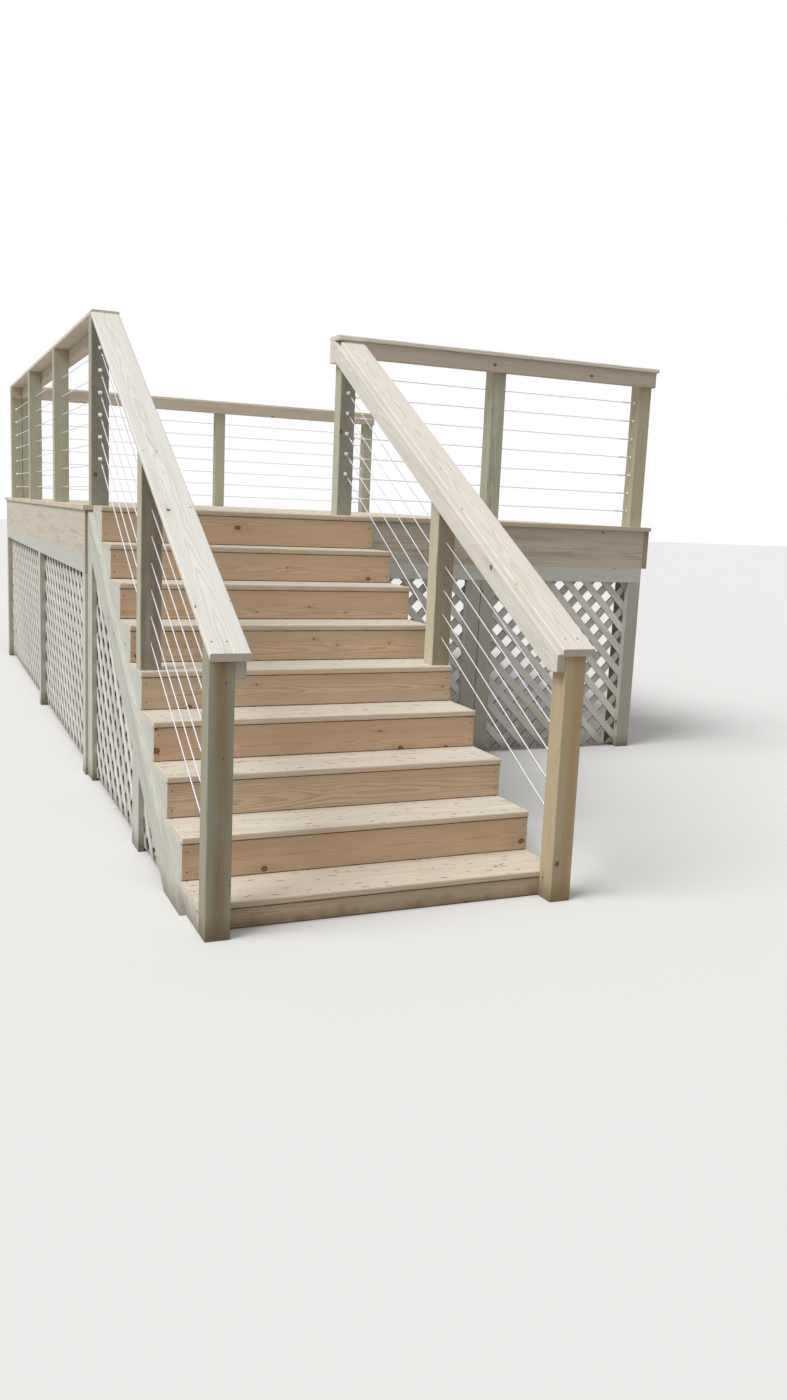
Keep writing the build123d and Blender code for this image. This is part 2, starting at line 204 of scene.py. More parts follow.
@dataclass(frozen=True)
class SawnPine(Finish):
    """Pressure-treated pine, sawn and planed: growth rings, knots, fibre, weather marks and painted
    shade.

    Colours are sRGB hex and lengths are millimetres. Rings are the real distance apart. Fibres are under
    half a millimetre wide, too fine to show, and are drawn as streaks of fibre_width.
    """

    early: str
    late: str
    tint: str
    warm: str = "#D2A67E"
    stain: str = "#8F7A58"
    heart: str = "#8C6B4A"
    knot: str = "#7A5230"
    knot_rim: str = "#4C3220"
    # Colour of sawn ends, also laid as painted shade on faces to the front and on the laths' edges
    end: str = "#A08F6C"
    litter: str = "#3E230E"
    # Colour of the painted shade along a board's long edges
    seam_shade: str = "#4A3D30"
    soil: str = "#6B5540"
    ring_pitch: float = 5.5
    ring_share: float = 0.5
    tint_share: float = 0.35
    warm_share: float = 0.3
    stain_share: float = 0.25
    end_share: float = 0.65
    knot_gap: float = 210.0
    knot_smallest: float = 3.0
    knot_largest: float = 12.0
    knot_share: float = 0.5
    heart_radius: float = 0.0
    heart_edge: float = 0.2
    litter_share: float = 0.0
    litter_gap: float = 74.0
    # Width of that painted shade, none where zero
    seam_shade_width: float = 0.0
    fibre_width: float = 2.2
    soil_height: float = 110.0
    roughness: float = 0.72

    def scatter(self, recipe: Recipe, grain: Feed, gap: float) -> tuple[bpy.types.Node, Feed]:
        """Scatter marks over a face.

        Args:
            recipe: Node tree of the material.
            grain: Place on the board's face, along and across its fibres.
            gap: Mean gap between marks, in millimetres.

        Returns:
            Three random numbers for the nearest mark, as a colour's parts, and the way from that mark.
        """
        cells = recipe.add("TexVoronoi", {"Vector": grain, "Scale": 1000 / gap, "Randomness": 1.0},
                           feature="F1", voronoi_dimensions="2D")
        chance = recipe.add("SeparateColor", (cells.outputs["Color"],))
        return chance, recipe.add("VectorMath", (grain, cells.outputs["Position"]), operation="SUBTRACT")

    def knots(self, recipe: Recipe, grain: Feed) -> dict[str, Feed]:
        """Round knots that go through the board, each of its own size, with some left out.

        Args:
            recipe: Node tree of the material.
            grain: Place on the board's face, along and across its fibres.

        Returns:
            The shares of "core", "rim" and "swell", and "push", which moves the rings out of the way.
        """
        add = recipe.add
        chance, from_knot = self.scatter(recipe, grain, self.knot_gap)
        present = add("Math", (chance.outputs["Red"], self.knot_share), operation="LESS_THAN")
        power = add("Math", (chance.outputs["Green"], KNOT_POWER), operation="POWER")
        size = add("MapRange", (power, 0, 1, self.knot_smallest * MM, self.knot_largest * MM))
        bumps = add("TexNoise", {"Vector": grain, "Scale": KNOT_BUMPS, "Detail": 2.0})
        ragged = add("MapRange", (bumps, 0, 1, *KNOT_RAGGED))
        shares: dict[str, Feed] = {}
        for part, (squeeze, start, stop) in KNOT_PARTS.items():
            reach = add("VectorMath", (from_knot, (squeeze, 1, 0)), operation="MULTIPLY")
            reach = add("VectorMath", (reach,), operation="LENGTH").outputs["Value"]
            reach = add("Math", (reach, size), operation="DIVIDE")
            reach = add("Math", (reach, ragged), operation="MULTIPLY")
            share = add("MapRange", (reach, start, stop, 1, 0), interpolation_type=SMOOTH)
            shares[part] = add("Math", (share, present), operation="MULTIPLY")
        shares["rim"] = add("Math", (shares["core"], shares["middle"]), operation="SUBTRACT",
                            use_clamp=True)
        push = add("VectorMath", (from_knot, (0, -RING_PARTING, 0)), operation="MULTIPLY")
        shares["push"] = add("VectorMath", {0: push, "Scale": shares["swell"]}, operation="SCALE")
        return shares

    def rings(self, recipe: Recipe, grain: Feed, push: Feed) -> tuple[Feed, Feed]:
        """Growth rings round the pith, which taper along the log and part round the knots.

        Args:
            recipe: Node tree of the material.
            grain: Place in the board, along and across its fibres.
            push: How far knots push the rings aside.

        Returns:
            The share of dark late wood, and the distance from the pith in metres.
        """
        add = recipe.add
        pushed = add("VectorMath", (grain, push), operation="ADD")
        along = add("SeparateXYZ", (pushed,)).outputs["X"]
        across = add("VectorMath", (pushed, (0, 1, 1)), operation="MULTIPLY")
        from_pith = add("VectorMath", (across,), operation="LENGTH").outputs["Value"]
        waves = add("VectorMath", (pushed, RING_WAVES), operation="MULTIPLY")
        wander = add("TexNoise", {"Vector": waves, "Scale": 1.0, "Detail": 2.5})
        radius = add("Math", (wander, RING_WANDER, from_pith), operation="MULTIPLY_ADD")
        tapered = add("Math", (along, LOG_TAPER, radius), operation="MULTIPLY_ADD")
        years = add("Math", (tapered, self.ring_pitch * MM), operation="DIVIDE")
        season = add("Math", (years,), operation="FRACT")
        rising = add("MapRange", (season, *LATE_STARTS, 0, 1), interpolation_type=SMOOTH)
        falling = add("MapRange", (season, *LATE_STOPS, 1, 0), interpolation_type=SMOOTH)
        return add("Math", (rising, falling), operation="MULTIPLY"), radius

    def patches(self, recipe: Recipe, grain: Feed, waves: Shares, spread: tuple[float, float],
                share: float) -> Feed:
        """Cloudy patches that run with the grain.

        Args:
            recipe: Node tree of the material.
            grain: Place in the board, along and across its fibres.
            waves: Patches for each metre along and across.
            spread: Noise levels at which a patch starts and is whole.
            share: Share of a whole patch, which also shifts the pattern, so that no two fall together.

        Returns:
            The share.
        """
        drawn = recipe.add("VectorMath", (grain, waves, (share * 9, 1.9, 4.1)), operation="MULTIPLY_ADD")
        cloud = recipe.add("TexNoise", {"Vector": drawn, "Scale": 1.0, "Detail": 4.0, "Roughness": 0.62})
        return recipe.add("MapRange", (cloud, *spread, 0, share))

    def seams(self, recipe: Recipe, grain: Feed) -> Feed:
        """Painted shade along a board's two long edges, where it meets the boards above and below: the
        shadow under the nosing and the shade in the joint.

        Args:
            recipe: Node tree of the material.
            grain: Place in the board, along and across its fibres.

        Returns:
            The share.
        """
        add = recipe.add
        wide = add("SeparateXYZ", (grain,)).outputs["Y"]
        edges = add("SeparateXYZ", (add("Attribute", attribute_name="edges").outputs["Vector"],))
        from_low = add("Math", (wide, edges.outputs["X"]), operation="SUBTRACT")
        from_high = add("Math", (edges.outputs["Y"], wide), operation="SUBTRACT")
        nearest = add("Math", (from_low, from_high), operation="MINIMUM")
        bumps = add("TexNoise", {"Vector": grain, "Scale": SEAM_SHADE_BUMPS, "Detail": 3.0})
        uneven = add("Math", (bumps, -self.seam_shade_width * MM, nearest), operation="MULTIPLY_ADD")
        return add("MapRange", (uneven, 0, self.seam_shade_width * MM, SEAM_SHADE_SHARE, 0),
                   interpolation_type=SMOOTH)

    def flecks(self, recipe: Recipe, grain: Feed, amount: Feed) -> Feed:
        """Bits of dry needle that lie on a walking surface, most of them along the boards.

        Args:
            recipe: Node tree of the material.
            grain: Place in the board, along and across its fibres.
            amount: How many lie on this board, from 0 to 1.

        Returns:
            The share.
        """
        add = recipe.add
        chance, from_bit = self.scatter(recipe, grain, self.litter_gap)
        angle = add("MapRange", (chance.outputs["Green"], 0, 1, -NEEDLE_TURN, NEEDLE_TURN))
        turned = add("VectorRotate", {"Vector": from_bit, "Angle": angle}, rotation_type="Z_AXIS")
        squeezed = add("VectorMath", (turned, (NEEDLE_SLENDER, 1, 0)), operation="MULTIPLY")
        reach = add("VectorMath", (squeezed,), operation="LENGTH").outputs["Value"]
        size = add("MapRange", (chance.outputs["Blue"], 0, 1, *NEEDLE_RADIUS))
        shown = add("Math", (reach, size), operation="LESS_THAN")
        present = add("Math", (chance.outputs["Red"], amount), operation="LESS_THAN")
        facing = add("SeparateXYZ", (add("NewGeometry").outputs["Normal"],)).outputs["Z"]
        on_top = add("Math", (facing, LIES_ON), operation="GREATER_THAN")
        for limit in (present, on_top, self.litter_share):
            shown = add("Math", (shown, limit), operation="MULTIPLY")
        return shown

    def soiled(self, recipe: Recipe) -> Feed:
        """Soil splashed up from the ground, less of it with height.

        Args:
            recipe: Node tree of the material.

        Returns:
            The share.
        """
        add = recipe.add
        place = add("TexCoord").outputs["Object"]
        height = add("SeparateXYZ", (place,)).outputs["Z"]
        splash = add("TexNoise", {"Vector": place, "Scale": SOIL_BUMPS, "Detail": 6.0})
        uneven = add("Math", (splash, -SOIL_SPLASH * MM, height), operation="MULTIPLY_ADD")
        clean = (self.soil_height - SOIL_SPLASH / 2) * MM
        return add("MapRange", (uneven, SOIL_SINKS, clean, SOIL_SHARE, 0), interpolation_type=SMOOTH)

    def build(self) -> bpy.types.Material:
        """Build the wood's nodes from the attributes that LogCut.mark and LathPanel.lay write.

        Returns:
            The material.
        """
        material, recipe = new_recipe(self.name)
        add = recipe.add
        grain = add("Attribute", attribute_name="grain").outputs["Vector"]
        face_grain = add("Attribute", attribute_name="face_grain").outputs["Vector"]
        board = add("Attribute", attribute_name="board").outputs["Vector"]
        board_tone, warmth, wear = add("SeparateXYZ", (board,)).outputs
        end_grain_and_shade = add("Attribute", attribute_name="end_grain_and_shade").outputs["Fac"]
        knots = self.knots(recipe, face_grain)
        late, radius = self.rings(recipe, grain, knots["push"])
        streaks = 1000 / self.fibre_width
        thin = add("VectorMath", (grain, (FIBRE_WAVES, streaks, streaks)), operation="MULTIPLY")
        fibre = add("TexNoise", {"Vector": thin, "Scale": 1.0, "Detail": 2.0})

        # Each layer of colour, from the first to the last laid, with how much of it shows
        layers = [(add("Math", (late, self.ring_share), operation="MULTIPLY"), self.late)]
        if self.heart_radius:
            stray = RING_WANDER / MM / 2
            brown = (self.heart_radius * (1 - self.heart_edge) + stray) * MM
            pale = (self.heart_radius + stray) * MM
            layers.append((add("MapRange", (radius, brown, pale, HEART_SHARE, 0),
                               interpolation_type=SMOOTH), self.heart))
        tinted = self.patches(recipe, grain, TINT_WAVES, TINT_SPREAD, self.tint_share)
        cool = add("MapRange", (warmth, 0, 1, *TINT_BY_WARMTH))
        stained = self.patches(recipe, grain, STAIN_WAVES, STAIN_SPREAD, self.stain_share)
        worn = add("MapRange", (wear, 0, 1, *STAIN_BY_WEAR))
        layers += [(add("Math", (tinted, cool), operation="MULTIPLY", use_clamp=True), self.tint),
                   (add("MapRange", (warmth, WARM_FROM, 1, 0, self.warm_share)), self.warm),
                   (add("Math", (stained, worn), operation="MULTIPLY"), self.stain)]
        for (part, share), laid in zip(KNOT_LAYERS.items(), (self.late, self.knot, self.knot_rim)):
            layers.append((add("Math", (knots[part], share), operation="MULTIPLY"), laid))
        # Sawn ends, and painted shade on faces to the front and on the laths' edges
        layers.append((add("Math", (end_grain_and_shade, self.end_share), operation="MULTIPLY"), self.end))
        if self.litter_share:
            layers.append((self.flecks(recipe, grain, wear), self.litter))
        # Painted shade under the nosing and in the joint
        if self.seam_shade_width:
            layers.append((self.seams(recipe, grain), self.seam_shade))
        colour = linear(self.early)
        for share, laid in layers:
            colour = add("Mix", {"Factor": share, "A": colour, "B": linear(laid)},
                         data_type="RGBA").outputs["Result"]

        # Tone of the whole board and of its fibres, and then the soil over both
        tone = add("MapRange", (board_tone, 0, 1, *BOARD_TONE))
        streak = add("MapRange", (fibre, *FIBRE_RANGE, *FIBRE_TONE))
        tone = add("Math", (tone, streak), operation="MULTIPLY")
        colour = add("VectorMath", {0: colour, "Scale": tone}, operation="SCALE")
        colour = add("Mix", {"Factor": self.soiled(recipe), "A": colour, "B": linear(self.soil)},
                     data_type="RGBA").outputs["Result"]

        # Late wood stands proud of the fibres and is a little smoother
        relief = add("Math", (fibre, 0.7, late), operation="MULTIPLY_ADD")
        bump = add("Bump", {"Strength": 0.35, "Distance": 0.6 * MM, "Height": relief})
        rough = add("MapRange", (late, 0, 1, self.roughness, self.roughness - 0.12))
        shader = add("BsdfPrincipled", {"Base Color": colour, "Roughness": rough, "Normal": bump,
                                        "IOR": 1.5, "Specular IOR Level": 0.3})
        add("OutputMaterial", (shader,))
        return material


@dataclass(frozen=True)
class StrandSteel(Finish):
    """Stainless steel in rope and fittings: silver, with a rope's lay as a fine slanting relief.

    Lengths are millimetres. A strand goes once round the rope in six diameters, as in such ropes.
    """

    name: str = "stainless_steel_laid_strand"
    slot: str = "cable"
    colour: str = "#DDDBE2"
    roughness: float = 0.48
    relief: float = 0.25
    lay_length: float = 30.0

    def build(self) -> bpy.types.Material:
        """Build the steel's nodes. The attribute "lay" counts strands along and round the cable.

        Returns:
            The material.
        """
        material, recipe = new_recipe(self.name)
        add = recipe.add
        lay = add("Attribute", attribute_name="lay").outputs["Fac"]
        turn = add("Math", (lay, math.tau), operation="MULTIPLY")
        ridge = add("Math", (turn,), operation="COSINE")
        bump = add("Bump", {"Strength": self.relief, "Distance": 0.3 * MM, "Height": ridge})
        place = add("TexCoord").outputs["Object"]
        mist = add("TexNoise", {"Vector": place, "Scale": 40.0, "Detail": 3.0})
        rough = add("MapRange", (mist, 0, 1, self.roughness - 0.08, self.roughness + 0.12))
        shader = add("BsdfPrincipled", {"Base Color": linear(self.colour), "Metallic": 1.0,
                                        "Roughness": rough, "Normal": bump})
        add("OutputMaterial", (shader,))
        return material


class Looks(NamedTuple):
    """How one board differs from the others of its wood, each from 0 to 1."""

    tone: float = 0.5
    warmth: float = 0.3
    wear: float = 0.4


Chosen = tuple[Looks, ...]


class Grain(Enum):
    """Which way a board's fibres run."""

    ACROSS_FLIGHT = "across"
    UP_FLIGHT = "up"
    PLUMB = "plumb"
    WITH_PITCH = "pitch"


# Planed caps are the palest wood: cream early wood with thin honey rings and a few small knots
CAP_WOOD = SawnPine("treated_pine_planed_cap", "pine_pale", early="#F5F3ED", late="#D2C6AC",
                    tint="#E3E5DF", warm="#E6C4A2", stain="#C0B092", end="#AC9D86", warm_share=0.25,
                    stain_share=0.3, knot_share=0.4, knot_largest=10.0)
# Planed planks on edge under the caps: as the caps, a little greyer and browner
RAIL_WOOD = SawnPine("treated_pine_planed_rail", "pine_pale", early="#EAE7E1", late="#C8BCA8",
                     tint="#D8D9D1", warm="#C4A788", end="#A4967C", ring_share=0.45, warm_share=0.6)
# Planed treads and deck boards: buff, scuffed pale in patches, with bits of dry needle lying on them
TREAD_WOOD = SawnPine("treated_pine_planed_tread", "pine_tread", early="#E6DDCE", late="#C6B192",
                      tint="#DAD7CB", warm="#DCC09A", end="#BF9F7A", warm_share=0.5, knot_share=0.35,
                      knot_largest=7.0, litter_share=0.95, soil_height=40.0)
# Planed risers: sheltered from sun and rain, so the brownest wood, with strong rings, more knots than
# the rest, painted shade under the nosings and in the joints, and pale ends
RISER_WOOD = SawnPine("treated_pine_planed_riser", "pine_riser", early="#D9BFA2", late="#A78360",
                      tint="#BEB197", warm="#D8AC88", end="#DEDACB", ring_share=0.55, tint_share=0.6,
                      warm_share=0.4, end_share=0.9, knot_gap=260.0, knot_smallest=4.0,
                      knot_largest=14.0, knot_share=0.8, seam_shade_width=4.0, soil_height=55.0)
# Sawn newels boxed round the pith: a brown heart stripe between edges that the salts turn green-grey
NEWEL_WOOD = SawnPine("treated_pine_sawn_newel", "pine_post", early="#B6B39F", late="#8A8465",
                      tint="#A2A28F", warm="#E0C294", heart="#947652", ring_share=0.6, tint_share=0.5,
                      warm_share=0.6, heart_radius=42.0, heart_edge=0.85)
# Stair posts with a whole face of brown heartwood to the front, and pale straw sapwood round it
HEART_POST_WOOD = SawnPine("treated_pine_sawn_heart_post", "pine_post", early="#D6D4BF",
                           late="#A5A080", tint="#BFC0AC", warm="#D8C096", heart="#77695A",
                           ring_share=0.4, tint_share=0.4, warm_share=0.5, heart_radius=48.0)
# Landing posts: as the stair posts, with a greyer heart
LANDING_POST_WOOD = SawnPine("treated_pine_sawn_landing_post", "pine_post", early="#C0BFAE",
                             late="#98947C", tint="#AFB09F", heart="#8C897E", ring_share=0.4,
                             tint_share=0.4, heart_radius=48.0)
# Guard posts, from the outer part of the log: pale green-grey, without the brown heart
GUARD_POST_WOOD = SawnPine("treated_pine_sawn_guard_post", "pine_post", early="#C7C7B3",
                           late="#949273", tint="#B3B69E", warm="#D3BE98", ring_share=0.45,
                           tint_share=0.5, warm_share=0.5)
# Sawn rim boards and joists: tan with brown water stains, wide cathedral figure and few knots
FRAME_WOOD = SawnPine("treated_pine_sawn_framing", "pine_frame", early="#DFDACD", late="#B2A286",
                      tint="#CAC6B8", warm="#D6BBA0", end="#8E7660", ring_pitch=8.0, stain_share=0.35,
                      knot_share=0.2)
# Sawn skirt boards and stringers: silvery green, weathered and plain
SKIRT_WOOD = SawnPine("treated_pine_sawn_skirt", "pine_frame", early="#DADCD5", late="#B7B5A6",
                      tint="#C6CBC2", warm="#D5CDB4", end="#94836C", ring_share=0.35, warm_share=0.2,
                      stain_share=0.2, knot_share=0.3)
# Rough-sawn laths: bone white faces, and dark edges painted with the shade of the openings
LATH_WOOD = SawnPine("treated_pine_rough_lath", "pine_lattice", early="#EEEDE7", late="#D2CFC4",
                     tint="#DCDDD6", end="#514B42", warm_share=0.1, stain_share=0.3, end_share=0.9,
                     knot_share=0.1, knot_largest=5.0)
# Laid wire rope: bright, with its six strands as a fine slanting relief
STEEL = StrandSteel()
# Turned end fittings: smoother and brighter than the rope
FITTING = StrandSteel("stainless_steel_turned_fitting", colour="#DADBDC", roughness=0.24, relief=0.0)
# Coated screws: dull bronze heads that sit flush in the wood
SCREW = StrandSteel("coated_steel_deck_screw", "pine_frame", "#857860", roughness=0.5, relief=0.0)

# End colour of walking boards: a little on their ends as sawn colour, and much on their front edges as
# painted shade
ENDS_AND_FRONT_SHADE = (0.1, 0.7)


def islands(mesh: bmesh.types.BMesh) -> list[Ring]:
    """Split a mesh into its separate pieces.

    Args:
        mesh: Mesh of one or more boards that don't touch.

    Returns:
        The vertices of each piece, in the order of their places.
    """
    seen: set[int] = set()
    found = []
    mesh.verts.index_update()
    for first in mesh.verts:
        if first.index in seen:
            continue
        seen.add(first.index)
        group, waiting = [first], [first]
        while waiting:
            vertex = waiting.pop()
            for edge in vertex.link_edges:
                other = edge.other_vert(vertex)
                if other.index not in seen:
                    seen.add(other.index)
                    group.append(other)
                    waiting.append(other)
        found.append(group)
    return sorted(found, key=lambda verts: tuple(round(sum(v.co[axis] for v in verts) / len(verts), 3)
                                                 for axis in range(3)))


def span(verts: Iterable[bmesh.types.BMVert], direction: Vector) -> tuple[float, float]:
    """Lowest and highest reach of some vertices along a direction, in metres."""
    reach = [vertex.co.dot(direction) for vertex in verts]
    return min(reach), max(reach)


def skin(mesh: bmesh.types.BMesh, rings: list[Ring]) -> None:
    """Add the faces between rings of vertices. A closed ring has its first vertex again at its end.

    Args:
        mesh: Mesh that the rings are in.
        rings: Rings of one length, in order.
    """
    for lower, upper in zip(rings, rings[1:]):
        for side in range(len(lower) - 1):
            mesh.faces.new((lower[side], lower[side + 1], upper[side + 1], upper[side]))


def frame_mesh(node: str) -> bmesh.types.BMesh:
    """Copy a CAD node's mesh, with its seams closed and its flat faces whole.

    Args:
        node: Name of the node.

    Returns:
        A mesh that the caller frees.
    """
    mesh = bmesh.new()
    mesh.from_mesh(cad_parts[node].data)
    bmesh.ops.remove_doubles(mesh, verts=mesh.verts[:], dist=0.02 * MM)
    bmesh.ops.dissolve_limit(mesh, angle_limit=math.radians(0.5), verts=mesh.verts[:],
                             edges=mesh.edges[:])
    return mesh


def middles(*nodes: str) -> list[Vector]:
    """Middle of each board or post of some nodes.

    Args:
        nodes: Names of the nodes.

    Returns:
        Their middles, in the nodes' order.
    """
    found = []
    for node in nodes:
        mesh = frame_mesh(node)
        for verts in islands(mesh):
            found.append(Vector([sum(span(verts, axis)) / 2 for axis in (RIGHT, INWARD, UP)]))
        mesh.free()
    return found


def flight_pitch() -> float:
    """Rise of the flight for each metre of run, from the lowest tread to the landing."""
    low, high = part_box("tread_1")[0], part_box("landing_tread")[0]
    return (high.z - low.z) / (high.y - low.y)


def cap_pitch() -> float:
    """Find the slope of the caps from the underside of one.

    Returns:
        Rise for each metre of run.
    """
    low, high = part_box("stair_cap_left")
    verts = [vertex.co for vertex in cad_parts["stair_cap_left"].data.vertices]
    bottom = min(co.z for co in verts if co.y > high.y - MM)
    return (bottom - low.z) / (high.y - low.y)


def grain_axes(grain: Grain, slope: float) -> tuple[Vector, Vector, Vector]:
    """Directions along the fibres and across them.

    Args:
        grain: Which way the fibres run.
        slope: Rise over run of a pitched board.

    Returns:
        Unit vectors along the fibres, and two across them.
    """
    run = Vector((0, 1, slope)).normalized()
    return {Grain.ACROSS_FLIGHT: (RIGHT, INWARD, UP),
            Grain.UP_FLIGHT: (INWARD, RIGHT, UP),
            Grain.PLUMB: (UP, RIGHT, INWARD),
            Grain.WITH_PITCH: (run, RIGHT, run.cross(RIGHT))}[grain]


@dataclass
class LogCut:
    """How a node's boards were cut from their logs, which their grain and sawn ends follow.

    Attributes:
        node: Name that fixes the random choices.
        axes: Directions along and across the fibres.
        chosen: Looks of each board in the order of their places, where they aren't left to chance.
        hearts: Place of the pith in each post as shares of its width, for posts cut from the heart.
        sawn: How much of the sawn ends' colour the ends have, and how much the faces to the front get as
            painted shade.
        tone: Range of a board's tone where its looks are left to chance.
        aside: Furthest that the pith lies to one side of a board's middle, as a share of its width.
        out: Range of the pith's way out of the board, as shares of the furthest.
        out_least: Furthest that the pith lies outside a square post, in millimetres.
        out_for_width: What a board's width over its thickness adds to that, because wide boards are
            sawn further from the pith.
        facing: Least cosine of a face's angle to a direction that it looks along.
    """

    node: str
    axes: tuple[Vector, Vector, Vector]
    chosen: Chosen = ()
    hearts: tuple[Shares, ...] = ()
    sawn: tuple[float, float] = (1.0, 0.0)
    tone: tuple[float, float] = (0.35, 0.65)
    aside: float = 0.3
    out: tuple[float, float] = (0.4, 1.0)
    out_least: float = 20.0
    out_for_width: float = 0.25
    facing: float = 0.7

    def pith(self, chance: random.Random, number: int, verts: Ring, wide: Vector,
             thick: Vector) -> tuple[float, float]:
        """Place the pith of one board, which gives its rings their centre.

        Args:
            chance: Random numbers of the board.
            number: Place of the board among the node's.
            verts: Vertices of the board.
            wide: Direction across the board's face.
            thick: Direction through the board.

        Returns:
            Distances along those two directions, in metres.
        """
        (wide_low, wide_high), (thick_low, thick_high) = span(verts, wide), span(verts, thick)
        width, thickness = wide_high - wide_low, thick_high - thick_low
        middle_wide, middle_thick = (wide_low + wide_high) / 2, (thick_low + thick_high) / 2
        out_wide = chance.uniform(-self.aside, self.aside) * width
        out_thick = chance.choice((-1, 1)) * chance.uniform(*self.out) * (
            thickness / 2 + self.out_least * MM + self.out_for_width * (width - thickness))
        if self.hearts:
            heart = Vector(self.hearts[number % len(self.hearts)])
            out_wide, out_thick = heart.dot(wide) * width, heart.dot(thick) * thickness
        return middle_wide + out_wide, middle_thick + out_thick

    def mark(self, mesh: bmesh.types.BMesh) -> None:
        """Write each board's own grain, tone, sawn ends and painted shade on faces to the front into the
        mesh.

        Args:
            mesh: Mesh of one or more boards.
        """
        grain = mesh.verts.layers.float_vector.new("grain")
        board = mesh.verts.layers.float_vector.new("board")
        edges = mesh.verts.layers.float_vector.new("edges")
        face_grain = mesh.loops.layers.float_vector.new("face_grain")
        end_grain_and_shade = mesh.faces.layers.float.new("end_grain_and_shade")
        along, *across = self.axes
        wide_of: dict[int, Vector] = {}
        for number, verts in enumerate(islands(mesh)):
            chance = random.Random(f"{self.node}-{number}")
            reach = [span(verts, way) for way in across]
            deep = reach[1][1] - reach[1][0] > reach[0][1] - reach[0][0]
            wide, thick = reversed(across) if deep else across
            low, high = reach[deep]
            pith_wide, pith_thick = self.pith(chance, number, verts, wide, thick)
            start = chance.uniform(*LOG_PLACE)
            looks = Vector((chance.uniform(*self.tone), chance.random(), chance.random()))
            if self.chosen:
                looks = Vector(self.chosen[number % len(self.chosen)])
            for vertex in verts:
                wide_of[vertex.index] = wide
                vertex[grain] = Vector((vertex.co.dot(along) + start, vertex.co.dot(wide) - pith_wide,
                                        vertex.co.dot(thick) - pith_thick))
                vertex[board] = looks
                vertex[edges] = Vector((low - pith_wide, high - pith_wide, 0))
        for face in mesh.faces:
            on_end, on_front = (abs(face.normal.dot(way)) > self.facing for way in (along, INWARD))
            # Ends get sawn colour, and faces to the front get the end colour as painted shade
            face[end_grain_and_shade] = self.sawn[0] if on_end else self.sawn[1] * on_front
            on_side = abs(face.normal.dot(wide_of[face.verts[0].index])) > self.facing
            for loop in face.loops:
                place = loop.vert[grain]
                loop[face_grain] = Vector((place.x + SIDE_SHIFT, place.z, 0)) if on_side else place


def finish_piece(name: str, mesh: bmesh.types.BMesh, finish: Finish,
                 replaced: Iterable[str] = ()) -> bpy.types.Object:
    """Turn a mesh into a piece of the object.

    Args:
        name: Name of the piece.
        mesh: Its mesh, which is freed.
        finish: Its finish.
        replaced: CAD nodes that the piece stands for.

    Returns:
        The new object.
    """
    data = bpy.data.meshes.new(name)
    mesh.to_mesh(data)
    mesh.free()
    data.materials.append(finish.material())
    data.shade_smooth()
    piece = bpy.data.objects.new(name, data)
    bpy.context.scene.collection.objects.link(piece)
    even = piece.modifiers.new("even_normals", "WEIGHTED_NORMAL")
    even.keep_sharp = True
    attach(piece, BODY)
    if replaced:
        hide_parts(*replaced)
    log.info("%s: %d faces", name, len(data.polygons))
    return piece


@dataclass
class Timber:
    """Boards or posts of one CAD node, with their edges rounded off and grain of their own.

    The last three fields are as LogCut has them. Lengths are millimetres.
    """

    node: str
    grain: Grain
    wood: SawnPine
    edge_round: float = 1.2
    slope: float = 0.0
    chosen: Chosen = ()
    hearts: tuple[Shares, ...] = ()
    sawn: tuple[float, float] = (1.0, 0.0)

    def build(self) -> bpy.types.Object:
        """Dress the node's boards.

        Returns:
            The piece that replaces the node.
        """
        mesh = frame_mesh(self.node)
        sharp = [edge for edge in mesh.edges
                 if len(edge.link_faces) == 2 and edge.calc_face_angle(0) > SHARP]
        bmesh.ops.bevel(mesh, geom=sharp, offset=self.edge_round * MM, segments=2, profile=0.6,
                        affect="EDGES", clamp_overlap=True)
        axes = grain_axes(self.grain, self.slope)
        LogCut(self.node, axes, self.chosen, self.hearts, self.sawn).mark(mesh)
        return finish_piece(f"{self.node}_boards", mesh, self.wood, [self.node])


@dataclass
class Cables:
    """Taut wire ropes of one CAD node, made round. Lengths are millimetres."""

    node: str
    sides: int = 12
    strands: int = 6
    diameter: float = 5.0
    segment: float = 60.0

    def paths(self) -> list[list[Vector]]:
        """Centre line of each cable of the node.

        Returns:
            The points of each line, from its low end along its longest reach.
        """
        mesh = frame_mesh(self.node)
        lines = []
        for verts in islands(mesh):
            low = [min(v.co[axis] for v in verts) for axis in range(3)]
            high = [max(v.co[axis] for v in verts) for axis in range(3)]
            longest = max(range(2), key=lambda axis: high[axis] - low[axis])
            rings: dict[int, list[Vector]] = {}
            for vertex in verts:
                rings.setdefault(round(vertex.co[longest] / (2 * MM)), []).append(vertex.co)
            lines.append([sum(ring, Vector()) / len(ring) for _, ring in sorted(rings.items())])
        mesh.free()
        return lines

    def build(self) -> bpy.types.Object:
        """Sweep a round section along each cable.

        Returns:
            The piece that replaces the node.
        """
        mesh = bmesh.new()
        lay = mesh.verts.layers.float.new("lay")
        for line in self.paths():
            turn = (line[-1] - line[0]).to_track_quat("Z", "Y")
            places = [line[0]]
            for start, end in zip(line, line[1:]):
                count = max(1, round((end - start).length / (self.segment * MM)))
                places += [start.lerp(end, (step + 1) / count) for step in range(count)]
            rings = []
            for place in places:
                ring = []
                for side in range(self.sides + 1):
                    angle = math.tau * side / self.sides
                    offset = Vector((math.cos(angle), math.sin(angle), 0)) * self.diameter * MM / 2
                    vertex = mesh.verts.new(place + turn @ offset)
                    vertex[lay] = self.strands * ((place - line[0]).length / (STEEL.lay_length * MM)
                                                  + side / self.sides)
                    ring.append(vertex)
                rings.append(ring)
            skin(mesh, rings)
        mesh.normal_update()
        return finish_piece(f"{self.node}_ropes", mesh, STEEL, [self.node])


